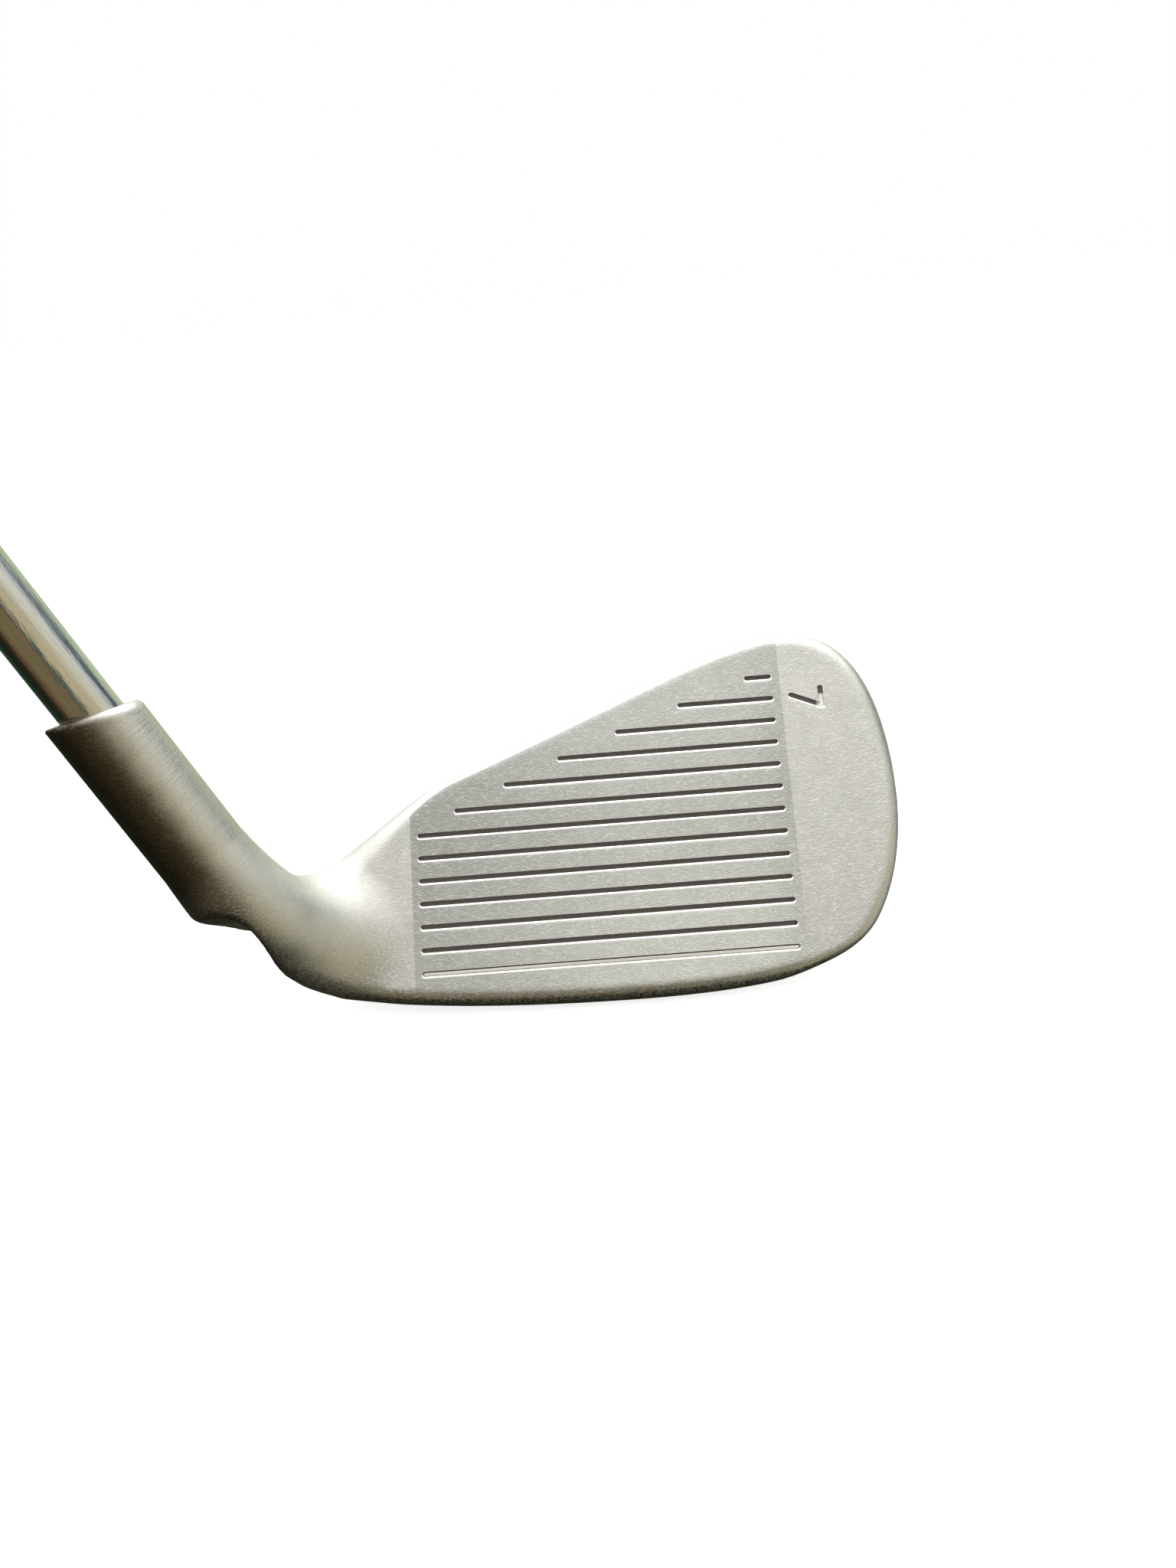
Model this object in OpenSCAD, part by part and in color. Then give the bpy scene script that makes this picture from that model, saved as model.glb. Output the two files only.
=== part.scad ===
// Left-handed iron golf club at address: sole on the ground, face towards -Y, toe towards +X.
// Millimetres. The origin is the lowest point of the sole and +Z is up.

/* [Club] */
// Length along the shaft axis, from the ground to the end of the grip cap
club_len = 940; // [900:1:980]
// Angle between the shaft and the ground
lie = 61.2; // [60:0.1:62.5]
// Angle of the face back from the vertical
loft = 35; // [34:0.5:36]

/* [Blade] */
// Height of the middle scoreline above the ground
face_mid_z = 25.3; // [24.8:0.1:25.8]
// Setback of the middle scoreline from the lowest point of the sole
face_mid_y = 7.9; // [7.5:0.1:8.3]
// Thickness of the blade along the topline
topline_t = 5.6; // [5:0.1:6.4]
// Thickness of the striking plate in front of the cavity
plate_t = 2.9; // [2.4:0.1:3.4]
// Radius of the leading edge
lead_r = 1.8; // [1.2:0.1:2.2]
// Distance from the lowest point of the sole to its trailing edge
sole_back = 13; // [12:0.1:14]
// Radius of the trailing edge
trail_r = 3; // [2:0.1:3.5]

/* [Hosel] */
// Distance from the origin to where the shaft axis meets the ground, towards the heel
axis_x = 47.4; // [46.5:0.1:48.5]
// Distance of the shaft axis in front of the origin
axis_y = 5.2; // [4.5:0.1:6]
// Outside radius of the hosel
hosel_r = 6.8; // [6.6:0.05:7]
// Distance along the shaft axis from the ground to the centre of the hosel top
hosel_top = 59.7; // [58:0.1:62]
// Slant of the hosel top, lower on the toe side
hosel_slant = 15; // [0:1:18]
// Radius of the shaft socket in the hosel
socket_r = 4.64; // [4.62:0.01:4.7]
// Depth of the shaft socket below the hosel top
socket_depth = 29; // [26:0.5:30]

/* [Scorelines] */
// Number of scorelines
line_count = 13; // [11:2:13]
// Distance between scorelines
line_pitch = 3.66; // [3.5:0.01:3.7]
// Width of a scoreline
line_w = 0.8; // [0.6:0.05:0.9]
// Depth of a scoreline
line_depth = 0.45; // [0.3:0.05:0.5]
// Toe end of the scorelines
line_toe = 24.3; // [23:0.1:25]
// Heel end of the full-length scorelines
line_heel = -33.6; // [-34:0.1:-32]

/* [Shaft] */
// Outside radius of the shaft tip
tip_r = 4.5; // [4.4:0.01:4.52]
// Outside radius of the shaft butt
butt_r = 7.62; // [7.55:0.01:7.65]
// Wall thickness at the butt
butt_wall = 0.4; // [0.35:0.05:0.6]
// Number of steps in the shaft
step_count = 15; // [10:1:16]
// Distance between shaft steps
step_pitch = 24; // [20:1:24]
// Distance along the axis from the ground to the first step
first_step = 235; // [200:5:240]

/* [Grip] */
// Length of the grip with its cap
grip_len = 267; // [255:1:275]
// Outside radius of the grip at its mouth
grip_mouth_r = 9.3; // [9:0.1:10]
// Outside radius of the grip at its butt
grip_butt_r = 13; // [12.6:0.1:13.4]
// Thickness of the grip cap
cap_t = 4; // [3:0.1:5]
// Radius of the vent hole in the grip cap
vent_r = 1.9; // [1.5:0.1:2.2]

/* [Hidden] */

// Smallest gap between neighbouring pieces
gap = 0.02;
// Overrun of a cutting body past the surface that it cuts
over = 1;
// Half the width of the bodies that the blade is cut from
blade_w = 40;
round_fn = 96;
hull_fn = 32;

// ---------- curves ----------

// Points of a cubic curve from a towards d, without the last point
function curve(a, b, c, d, n) = [
    for (i = [0:n - 1])
        let (t = i / n, s = 1 - t)
        s * s * s * a + 3 * s * s * t * b + 3 * s * t * t * c + t * t * t * d
];

// Points of an arc about c, from angle a0 to angle a1
function arc(c, r, a0, a1, n) = [
    for (i = [0:n])
        let (a = a0 + (a1 - a0) * i / n)
        c + r * [cos(a), sin(a)]
];

// The corner p between two neighbours, rounded to radius r
function rounded_corner(before, p, after, r, n) =
    let (
        to_before = (before - p) / norm(before - p),
        to_after = (after - p) / norm(after - p),
        half = acos(to_before * to_after) / 2,
        start = p + to_before * r / tan(half),
        end = p + to_after * r / tan(half),
        handle = 4 / 3 * tan(half) * tan((90 - half) / 2)
    )
    concat(curve(start, start + (p - start) * handle, end + (p - end) * handle, end, n), [end]);

// A polygon with every corner rounded to radius r
function rounded(pts, r, n = 6) = [
    for (i = [0:len(pts) - 1])
        each rounded_corner(pts[(i + len(pts) - 1) % len(pts)], pts[i], pts[(i + 1) % len(pts)], r, n)
];

// The point of the side view (Y, Z) that lies h up the face and w behind it
function side(h, w) = [
    face_mid_y + h * sin(loft) + w * cos(loft),
    face_mid_z + h * cos(loft) - w * sin(loft)
];

// ---------- frames of the head and the shaft ----------

// Local x towards the toe, y up the face, z out of the face; zero on the middle scoreline
module on_face() {
    translate([0, face_mid_y, face_mid_z])
        rotate([90 - loft, 0, 0])
            children();
}

// Local z up the shaft axis from the ground, x towards the toe
module on_axis() {
    translate([-axis_x, -axis_y, 0])
        rotate([0, lie - 90, 0])
            children();
}

// ---------- head ----------

// Outline of the blade in the plane of the face, clockwise from the heel end of the topline
toe_crown = [4, 22.7];
toe_top = [26.7, 29.3];
toe_end = [42.1, 2.4];
toe_low = [30.2, -24.2];
blade_outline = concat(
    [[-58, -30], [-58, -15], [-52, -9], [-47, -3], [-41, 1.4], [-34, 6.2]],
    curve(toe_crown, [11.5, 26], [20, 29.3], toe_top, 8),
    curve(toe_top, [37.2, 29.3], [42.1, 17.5], toe_end, 12),
    curve(toe_end, [42.1, -8.5], [38.5, -20], toe_low, 10),
    [toe_low, [24, -31]]
);

// The lowest edge of the sole in the front view (X, Z): rocker from heel to toe
sole_rocker = concat(
    curve([-60, 10], [-45, 3], [-24, 0], [0, 0], 12),
    curve([0, 0], [14, 0], [28, 0.9], [40, 12], 12),
    [[40, 12], [50, 26], [50, 60], [-60, 60]]
);

// Side view (Y, Z) of the blade: face, leading edge, cambered sole, trailing edge and back
lead_h = -26.3;
lead_c = side(lead_h, lead_r);
lead_end = 262;
trail_rise = 0.4;
trail_c = [sole_back - trail_r, trail_r + trail_rise];
trail_end = 338;
back_top = 24;
face_top = 34;
back_low = trail_c + trail_r * [cos(trail_end), sin(trail_end)];
blade_side = concat(
    [side(face_top, 0)],
    arc(lead_c, lead_r, 180 - loft, lead_end, 8),
    curve(lead_c + lead_r * [cos(lead_end), sin(lead_end)], [-3, 0], [3, -0.25], trail_c + [0, -trail_r], 8),
    arc(trail_c, trail_r, 270, trail_end, 6),
    curve(back_low, side(-8, 10), side(6, 7.2), side(back_top, topline_t), 8),
    [side(back_top, topline_t), side(face_top, topline_t)]
);

module blade() {
    intersection() {
        on_face()
            translate([0, 0, -blade_w])
                linear_extrude(blade_w + over)
                    polygon(blade_outline);
        rotate([90, 0, 90])
            translate([0, 0, -blade_w * 2])
                linear_extrude(blade_w * 4)
                    polygon(blade_side);
        above_sole();
    }
}

// Everything above the heel-to-toe curve of the sole
module above_sole() {
    translate([0, blade_w, 0])
        rotate([90, 0, 0])
            linear_extrude(blade_w * 2)
                polygon(sole_rocker);
}

// Neck that joins the hosel to the heel of the blade, a slab just behind the face
neck_low = 20;
neck_high = 31;
heel_slab_at = [-50, -27, -9.5];
heel_slab_size = [6, 20, 9.4];
module neck() {
    intersection() {
        hull() {
            on_axis()
                translate([0, 0, neck_low])
                    cylinder(r = hosel_r - gap, h = neck_high - neck_low, $fn = hull_fn);
            on_face()
                translate(heel_slab_at)
                    cube(heel_slab_size);
        }
        above_sole();
    }
}

// Cut square to the face below the heel side of the hosel
module notch() {
    on_face()
        translate([0, 0, -blade_w])
            linear_extrude(2 * blade_w)
                polygon(concat(
                    [[-90, -13.6], [-64.5, -13.6]],
                    curve([-62, -13.6], [-58.8, -14.1], [-57.6, -16.2], [-56, -20], 6),
                    [[-56, -20], [-53.5, -21.8], [-49, -23.6], [-42, -27], [-42, -45], [-90, -45]]
                ));
}

// Rise of the slanted hosel top above its centre, with the overrun of the bodies cut by it
slant_rise = hosel_r * tan(hosel_slant) + over;
module hosel() {
    on_axis()
        translate([0, 0, neck_low + over])
            cylinder(r = hosel_r, h = hosel_top + slant_rise - neck_low - over, $fn = round_fn);
}

// Everything above the slanted hosel top
module above_hosel() {
    on_axis()
        translate([0, 0, hosel_top])
            rotate([0, hosel_slant, 0])
                translate([-blade_w / 2, -blade_w / 2, 0])
                    cube(blade_w);
}

socket_low = hosel_top - socket_depth;
module socket() {
    on_axis()
        translate([0, 0, socket_low])
            cylinder(r = socket_r, h = socket_depth + slant_rise + over, $fn = round_fn);
}

// Outline of the cavity in the back, seen through the face; inset moves it in all round
cavity_corners = [[-31, -1.5], [4, 14.5], [25.5, 21], [35, 3], [27, -13.5], [-29, -14.5]];
cavity_corner_r = 4.5;
cavity_mid = [4, 1];
// Move of a corner towards the middle for each millimetre of inset
corner_move = 1.35;
function cavity_outline(inset) = rounded([
    for (p = cavity_corners)
        p + (cavity_mid - p) / norm(cavity_mid - p) * inset * corner_move
], cavity_corner_r - inset);

module cavity(inset, floor_w, t) {
    on_face()
        translate([0, 0, -floor_w - t])
            linear_extrude(t)
                polygon(cavity_outline(inset));
}

// Heel end of the scoreline that runs h above the middle one
function line_heel_at(h) = h <= 0 ? line_heel : -34.8 + 1.87 * h + 0.0285 * h * h;

function line_h(i) = (i - (line_count - 1) / 2) * line_pitch;
function line_from(h) = [line_heel_at(h) + line_w / 2, h];
function line_to(h) = [line_toe - line_w / 2, h];

// Bar with round ends between two points of the face, from depth up to top below it
module stroke(a, b, w, depth, top = -over) {
    along = b - a;
    on_face()
        translate([a[0], a[1], -depth])
            rotate(atan2(along[1], along[0]))
                linear_extrude(depth - top) {
                    translate([0, -w / 2])
                        square([norm(along), w]);
                    for (x = [0, norm(along)])
                        translate([x, 0])
                            circle(r = w / 2, $fn = hull_fn);
                }
}

// The club number, a seven with its head towards the toe
seven = [[31.9, 19.5], [31.9, 16.5], [27.2, 18.6]];
seven_w = 0.7;
seven_depth = 0.4;
module head() {
    color("silver")
        difference() {
            union() {
                blade();
                neck();
                hosel();
            }
            above_hosel();
            notch();
            socket();
            cavity(0, plate_t, blade_w);
            for (i = [0:line_count - 1])
                stroke(line_from(line_h(i)), line_to(line_h(i)), line_w, line_depth);
            for (i = [1:len(seven) - 1])
                stroke(seven[i - 1], seven[i], seven_w, seven_depth);
        }
}

// Distance of a paint fill below the face, and from the walls of its groove
paint_sunk = 0.08;
paint_gap = 0.03;

// White fill of the lowest scoreline
module scoreline_paint() {
    h = line_h(0);
    color("white")
        stroke(line_from(h), line_to(h), line_w - 2 * paint_gap, line_depth - paint_gap, paint_sunk);
}

// ---------- damping badge in the cavity ----------

badge_inset = 1.6;
plate_inset = badge_inset + 0.5;
pad_t = 1.2;
plate_thick = 0.8;

module badge_pad() {
    color([0.12, 0.12, 0.13])
        cavity(badge_inset, plate_t + gap, pad_t);
}

module badge_plate() {
    color("gainsboro")
        cavity(plate_inset, plate_t + pad_t + 2 * gap, plate_thick);
}

// ---------- shaft ----------

chamfer = 0.3;
shaft_low = socket_low + 0.3;
shaft_high = club_len - cap_t - 0.3;
tip_wall = 0.8;
tip_end = hosel_top + 4;
last_step = first_step + (step_count - 1) * step_pitch;
taper_r = tip_r + 0.28;
step_r = (butt_r - taper_r) / step_count;
step_ramp = 0.6;

// A solid of revolution about the shaft axis from [radius, distance] points
module turned(profile) {
    on_axis()
        rotate_extrude($fn = round_fn)
            polygon(profile);
}

shaft_outside = concat(
    [[tip_r - chamfer, shaft_low], [tip_r, shaft_low + chamfer], [tip_r, tip_end]],
    [for (i = [0:step_count - 1], end = [0, 1])
        [taper_r + (i + end) * step_r, first_step + i * step_pitch + end * step_ramp]],
    [[butt_r, shaft_high - chamfer], [butt_r - chamfer, shaft_high]]
);
shaft_inside = [
    [butt_r - butt_wall, shaft_high],
    [butt_r - butt_wall, last_step],
    [taper_r - tip_wall, first_step],
    [tip_r - tip_wall, tip_end],
    [tip_r - tip_wall, shaft_low]
];

module shaft() {
    color("lightsteelblue")
        turned(concat(shaft_outside, shaft_inside));
}

// Glue between the shaft tip and the socket, closed below the tip
epoxy_r = socket_r - gap;
epoxy_high = hosel_top - 3;
module hosel_epoxy() {
    color("khaki")
        turned([
            [0, socket_low + gap],
            [epoxy_r, socket_low + gap],
            [epoxy_r, epoxy_high],
            [tip_r + gap, epoxy_high],
            [tip_r + gap, shaft_low - gap],
            [0, shaft_low - gap]
        ]);
}

// Swing-weight plug pressed into the shaft tip
plug_len = 12;
plug_low = shaft_low + 0.5;
plug_high = shaft_low + plug_len;
plug_r = tip_r - tip_wall - gap;
module tip_plug() {
    color("darkgoldenrod")
        turned([
            [0, plug_low],
            [plug_r - 0.4, plug_low],
            [plug_r, plug_low + 0.4],
            [plug_r, plug_high - 1.5],
            [plug_r - 1.2, plug_high],
            [0, plug_high]
        ]);
}

// Cork that holds the plug down
cork_len = 13;
cork_low = plug_high + gap;
cork_high = cork_low + cork_len;
module tip_cork() {
    color("peru")
        turned([
            [0, cork_low],
            [plug_r - 0.3, cork_low],
            [plug_r, cork_low + 0.8],
            [plug_r, cork_high - 0.8],
            [plug_r - 0.3, cork_high],
            [0, cork_high]
        ]);
}

// Blank band round the shaft below the grip
label_low = 600;
label_high = label_low + 56;
label_r = butt_r + gap;
label_t = 0.12;
module shaft_label() {
    color("whitesmoke")
        turned([
            [label_r, label_low],
            [label_r + label_t, label_low],
            [label_r + label_t, label_high],
            [label_r, label_high]
        ]);
}

// ---------- grip ----------

mouth_s = club_len - grip_len;
sleeve_high = club_len - cap_t - gap;
tape_t = 0.16;
tape_r = butt_r + gap + tape_t;

// Double-sided tape wound round the butt of the shaft
tape_low = mouth_s + 4;
tape_high = shaft_high - 1;
module grip_tape() {
    color("tan")
        turned([
            [butt_r + gap, tape_low],
            [tape_r, tape_low],
            [tape_r, tape_high],
            [butt_r + gap, tape_high]
        ]);
}

sleeve_outside = concat(
    [[grip_mouth_r - 0.9, mouth_s], [grip_mouth_r, mouth_s + 1.2]],
    curve([grip_mouth_r, mouth_s + 4], [grip_mouth_r + 0.9, mouth_s + 80],
          [grip_butt_r - 1.5, sleeve_high - 90], [grip_butt_r - 0.5, sleeve_high - 12], 10),
    [[grip_butt_r - 0.5, sleeve_high - 12], [grip_butt_r, sleeve_high - 6], [grip_butt_r, sleeve_high]]
);

module grip() {
    color([0.09, 0.09, 0.1])
        turned(concat(
            sleeve_outside,
            [[butt_r + 0.1, sleeve_high], [tape_r + gap, sleeve_high - 1], [tape_r + gap, mouth_s]]
        ));
}

// Butt cap with its vent hole
cap_edge_r = 1.8;
module grip_cap() {
    color([0.14, 0.14, 0.15])
        turned(concat(
            [[vent_r, club_len - cap_t], [grip_butt_r, club_len - cap_t]],
            arc([grip_butt_r - cap_edge_r, club_len - cap_edge_r], cap_edge_r, 0, 80, 6),
            [[vent_r, club_len]]
        ));
}

head();
scoreline_paint();
badge_pad();
badge_plate();
hosel_epoxy();
tip_plug();
tip_cork();
shaft();
shaft_label();
grip_tape();
grip();
grip_cap();
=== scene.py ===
"""Looks of a left-handed iron golf club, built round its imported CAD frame."""

import math

import bmesh
import bpy
import numpy as np
from mathutils import Matrix, Vector


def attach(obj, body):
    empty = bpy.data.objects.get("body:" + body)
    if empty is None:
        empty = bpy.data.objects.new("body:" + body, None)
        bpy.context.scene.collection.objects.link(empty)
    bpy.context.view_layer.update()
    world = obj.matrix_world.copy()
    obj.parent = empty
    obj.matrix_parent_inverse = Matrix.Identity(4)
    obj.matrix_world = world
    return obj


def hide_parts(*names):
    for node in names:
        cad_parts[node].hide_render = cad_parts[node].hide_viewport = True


MM = 0.001

# ---- dimensions in millimetres, the same as in the CAD ----

LOFT = math.radians(35)
LIE = math.radians(61.2)
FACE_MID = (7.9, 25.3)  # Y and Z of the middle scoreline
AXIS_X, AXIS_Y = -47.4, -5.2  # where the shaft axis meets the ground
HOSEL_R, HOSEL_TOP, HOSEL_SLANT = 6.8, 59.9, math.radians(15)
HOSEL_LEAN = math.radians(8)  # the hosel top also leans back, so its front edge is the highest
SOCKET_R, SOCKET_DEPTH = 4.64, 29.0
PLATE_T, TOPLINE_T = 2.9, 5.6
LINE_COUNT, LINE_PITCH = 13, 3.66
LINE_TOE, LINE_HEEL = 24.3, -33.6
BLAST_HEEL, BLAST_TOE = -34.7, 25.6  # ends of the blasted hitting area
SHAFT_BUTT_R = 7.62
TAPE_T = 0.24  # tape and its glue, between the shaft and the grip
CLUB_LEN, GRIP_LEN, CAP_T = 940.0, 267.0, 4.0
GRIP_MOUTH_R, GRIP_BUTT_R, VENT_R = 9.3, 13.0, 1.9
LABEL_LOW, LABEL_LEN = 600.0, 56.0

# ---- frames ----

ALONG = np.array((-math.cos(LIE), 0, math.sin(LIE)))
ACROSS = np.array((math.sin(LIE), 0, math.cos(LIE)))
AXIS_FOOT = np.array((AXIS_X, AXIS_Y, 0.0))
FACE_UP = np.array((0, math.sin(LOFT), math.cos(LOFT)))
FACE_IN = np.array((0, math.cos(LOFT), -math.sin(LOFT)))
FACE_POINT = np.array((0, *FACE_MID))


def from_face(points):
    """World points from (u to the toe, h up the face, w into the club)."""
    u, h, w = np.asarray(points, float).T
    return np.outer(u, (1, 0, 0)) + np.outer(h, FACE_UP) + np.outer(w, FACE_IN) + FACE_POINT


def from_axis(radius, angle, s):
    """World points from the radius, the angle and the distance along the shaft axis."""
    side = np.outer(np.cos(angle), ACROSS) + np.outer(np.sin(angle), (0, -1, 0))
    return AXIS_FOOT + np.outer(s, ALONG) + side * np.asarray(radius)[:, None]


# ---- meshes ----


def mesh_piece(name, points, faces, sharp_deg=None):
    """A smooth-shaded object from points in millimetres."""
    mesh = bpy.data.meshes.new(name)
    mesh.from_pydata((np.asarray(points) * MM).tolist(), [], [tuple(f) for f in faces])
    mesh.validate()
    mesh.update()
    mesh.shade_smooth()
    if sharp_deg:
        mesh.set_sharp_from_angle(angle=math.radians(sharp_deg))
    piece = bpy.data.objects.new(name, mesh)
    bpy.context.scene.collection.objects.link(piece)
    return piece


def bake(piece):
    """Applies the modifiers of a piece to its mesh."""
    depsgraph = bpy.context.evaluated_depsgraph_get()
    mesh = bpy.data.meshes.new_from_object(piece.evaluated_get(depsgraph))
    piece.modifiers.clear()
    piece.data = mesh
    return mesh


def place(piece, material, slot, *nodes):
    """Gives a piece its material and its place in the frame."""
    if not piece.data.materials:
        piece.data.materials.append(material)
    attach(piece, "root")
    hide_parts(*nodes)


# ---- head: a solid described by its signed distance, negative inside ----


def curve(a, b, c, d, n):
    """Points of a cubic curve from a towards d, without the last one."""
    t = (np.arange(n) / n)[:, None]
    a, b, c, d = (np.array(p, float) for p in (a, b, c, d))
    return (1 - t) ** 3 * a + 3 * (1 - t) ** 2 * t * b + 3 * (1 - t) * t * t * c + t**3 * d


def outline_distance(points, x, y):
    """Signed distance to a closed outline."""
    px, py = x.ravel(), y.ravel()
    best = np.full(px.shape, 1e9)
    inside = np.zeros(px.shape, bool)
    for (ax, ay), (bx, by) in zip(points, np.roll(points, -1, axis=0)):
        ex, ey = bx - ax, by - ay
        wx, wy = px - ax, py - ay
        t = np.clip((wx * ex + wy * ey) / (ex * ex + ey * ey), 0, 1)
        best = np.minimum(best, np.hypot(wx - t * ex, wy - t * ey))
        crosses = (ay > py) != (by > py)
        with np.errstate(divide="ignore", invalid="ignore"):
            inside ^= crosses & (px < ax + ex * (py - ay) / ey)
    return np.where(inside, -best, best).reshape(x.shape)


def round_cut(a, b, r):
    """Intersection of two solids with a rounded edge of radius r."""
    return np.minimum(np.maximum(a, b), -r) + np.hypot(np.maximum(a + r, 0), np.maximum(b + r, 0))


def round_join(a, b, r):
    """Union of two solids with a fillet of radius r."""
    return np.maximum(np.minimum(a, b), r) - np.hypot(np.maximum(r - a, 0), np.maximum(r - b, 0))


def ramp(x, low, high):
    """0 below low, 1 above high and smooth in between."""
    t = np.clip((x - low) / (high - low), 0, 1)
    return t * t * (3 - 2 * t)


TOE_CROWN, TOE_TOP, TOE_END, TOE_LOW = (4, 23.5), (26.7, 29.9), (42.2, 2.4), (30.2, -24.4)
BLADE_OUTLINE = np.vstack(
    [
        [(-60, -60)],
        curve((-62, -11.5), (-50, -4.2), (-38.5, 5.0), (-29, 9.6), 8),
        curve((-29, 9.6), (-20, 13.6), (-7, 18.9), TOE_CROWN, 2),
        curve(TOE_CROWN, (11.5, 26.7), (20, 29.9), TOE_TOP, 12),
        curve(TOE_TOP, (38.0, 29.9), (42.4, 18.2), TOE_END, 20),
        curve(TOE_END, (42.2, -8.5), (38.5, -20.2), TOE_LOW, 16),
        [TOE_LOW, (19.5, -29.8), (19.5, -60)],
    ]
)
NOTCH_OUTLINE = np.vstack(
    [
        [(-120, -13.6), (-64, -13.6)],
        curve((-61.5, -13.6), (-57.2, -13.9), (-55.8, -17.0), (-54.8, -20.6), 8),
        [(-54.8, -20.6), (-54.0, -22.0), (-52, -23.6), (-48, -26), (-44, -30), (-44, -60)],
        [(-120, -60)],
    ]
)
NOTCH_W = -12  # depth at which the notch has this outline
NOTCH_RISE = 0.1  # how fast it climbs behind that
CAVITY_CORNERS = np.array([(-31, -1.5), (4, 14.5), (25.5, 21), (35, 3), (27, -13.5), (-29, -14.5)])
CAVITY_CORNER_R = 4.5


def inset_corners(corners, r):
    """Corners of the outline moved in by r, square to both of its sides."""
    moved = []
    for i, p in enumerate(corners):
        before, after = corners[i - 1], corners[(i + 1) % len(corners)]
        a = (before - p) / np.linalg.norm(before - p)
        b = (after - p) / np.linalg.norm(after - p)
        half = math.acos(float(a @ b)) / 2
        moved.append(p + (a + b) / np.linalg.norm(a + b) * r / math.sin(half))
    return np.array(moved)


def outlines_at(u, h):
    """Distances to the blade and to the cavity in the plane of the face."""
    return (
        outline_distance(BLADE_OUTLINE, u, h),
        outline_distance(inset_corners(CAVITY_CORNERS, CAVITY_CORNER_R), u, h) - CAVITY_CORNER_R,
    )


THIN_ABOVE = 24  # height on the face below which the blade thickens towards the sole
TAPER, MUSCLE = 0.0644, 1.441e-4  # how it thickens: evenly, and with the cube of the drop
TRAIL_Y, TRAIL_Z, TRAIL_LEAN = 13, 3, 0.8  # trailing edge of the sole, and the lean of its bevel
TRAIL_SWEEP, HALF_BLADE = 3, 45  # how far that edge comes forward half a blade from its middle
TRAIL_R, BACK_EDGE_R = 3.0, 2.2


def face_edge_radius(u, h):
    """Radius of the edge round the face: larger towards the top, and largest beside the neck."""
    return 2.0 + 0.8 * ramp(h, 0, 16) + 4.0 * (1 - ramp(u, -46, -28))


def blade_distance(u, h, w, y, z, outline):
    """The blade without its sole or cavity: a flat face, and a back that thickens low down."""
    drop = np.maximum(THIN_ABOVE - h, 0)
    thickness = TOPLINE_T + TAPER * drop + MUSCLE * drop**3
    slope = TAPER + 3 * MUSCLE * drop**2
    back = (w - thickness) / np.sqrt(1 + slope**2)
    trail_y = TRAIL_Y - TRAIL_SWEEP * (u / HALF_BLADE) ** 2
    trail = (y - trail_y - TRAIL_LEAN * (z - TRAIL_Z)) / math.hypot(1, TRAIL_LEAN)
    back = round_cut(back, trail, TRAIL_R)
    return round_cut(round_cut(outline, -w, face_edge_radius(u, h)), back, BACK_EDGE_R)


LEAD_CAMBER_R, TRAIL_CAMBER_R = 17, 60  # radius of the sole in front of its lowest point and behind
HEEL_ROCKER, TOE_ROCKER = (1.12e-3, 2.0e-7), (2.29e-3, 1.65e-6)
SOLE_STRETCH = math.sqrt(1.05)  # height above the sole over the distance to it, where it slopes


def rise(distance, rocker):
    """How far the sole has risen at a distance from its lowest point."""
    square, fourth = rocker
    return square * distance**2 + fourth * distance**4


def sole_distance(u, y, z):
    """Everything above the sole, which rocks from heel to toe and is cambered front to back."""
    rocker = rise(np.maximum(-u, 0), HEEL_ROCKER) + rise(np.maximum(u, 0), TOE_ROCKER)
    camber = y * y / (2 * np.where(y < 0, LEAD_CAMBER_R, TRAIL_CAMBER_R))
    return (rocker + camber - z) / SOLE_STRETCH


# Cubic curve (u, h, w, radius) of the neck: down the shaft axis from the hosel, then into the blade
NECK_CURVE = [
    (-63.8, -3.8, -13.3, HOSEL_R),
    (-59, -10.9, -8.3, 7.4),
    (-54.5, -16.8, -3, 9.4),
    (-44.2, -14.4, 8.8, 4.2),
]
NECK_REACH = -24.0  # the neck has no influence further to the toe
FAR = 99.0
NEWTON_STEPS = 4


def neck_distance(u, h, w):
    """The neck, a bent round bar of changing radius."""
    a, b, c, d = np.array(NECK_CURVE)
    terms = (a, 3 * (b - a), 3 * (a - 2 * b + c), d - a + 3 * (b - c))
    distance = np.full(u.shape, FAR)
    near = u < NECK_REACH
    point = np.stack([u[near], h[near], w[near]], 1)
    starts = np.linspace(0, 1, 9)
    nodes = sum(np.outer(starts**k, term) for k, term in enumerate(terms))
    gaps = [((point - node[:3]) ** 2).sum(1) for node in nodes]
    t = starts[np.argmin(gaps, 0)]
    for _ in range(NEWTON_STEPS):
        apart = sum(np.outer(t**k, term[:3]) for k, term in enumerate(terms)) - point
        run = sum(np.outer(k * t ** (k - 1), terms[k][:3]) for k in (1, 2, 3))
        t = np.clip(t - (apart * run).sum(1) / (run**2).sum(1), 0, 1)
    nearest = sum(np.outer(t**k, term) for k, term in enumerate(terms))
    distance[near] = np.linalg.norm(nearest[:, :3] - point, axis=1) - nearest[:, 3]
    return distance


NECK_TOP = 32.0  # distance along the shaft axis where the neck leaves the hosel


def hosel_distance(s, across, front):
    """The hosel and its slanted top, whose edge is rounder in front and towards the toe."""
    hosel = np.sqrt(across**2 + front**2 + np.minimum(s - NECK_TOP, 0) ** 2) - HOSEL_R
    slanted = (s - HOSEL_TOP) * math.cos(HOSEL_SLANT) + across * math.sin(HOSEL_SLANT)
    top = slanted * math.cos(HOSEL_LEAN) - front * math.sin(HOSEL_LEAN)
    top_edge_r = 0.5 + 0.7 * ramp(across + front, -1, 7)
    return round_cut(hosel, top, top_edge_r)


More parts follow.
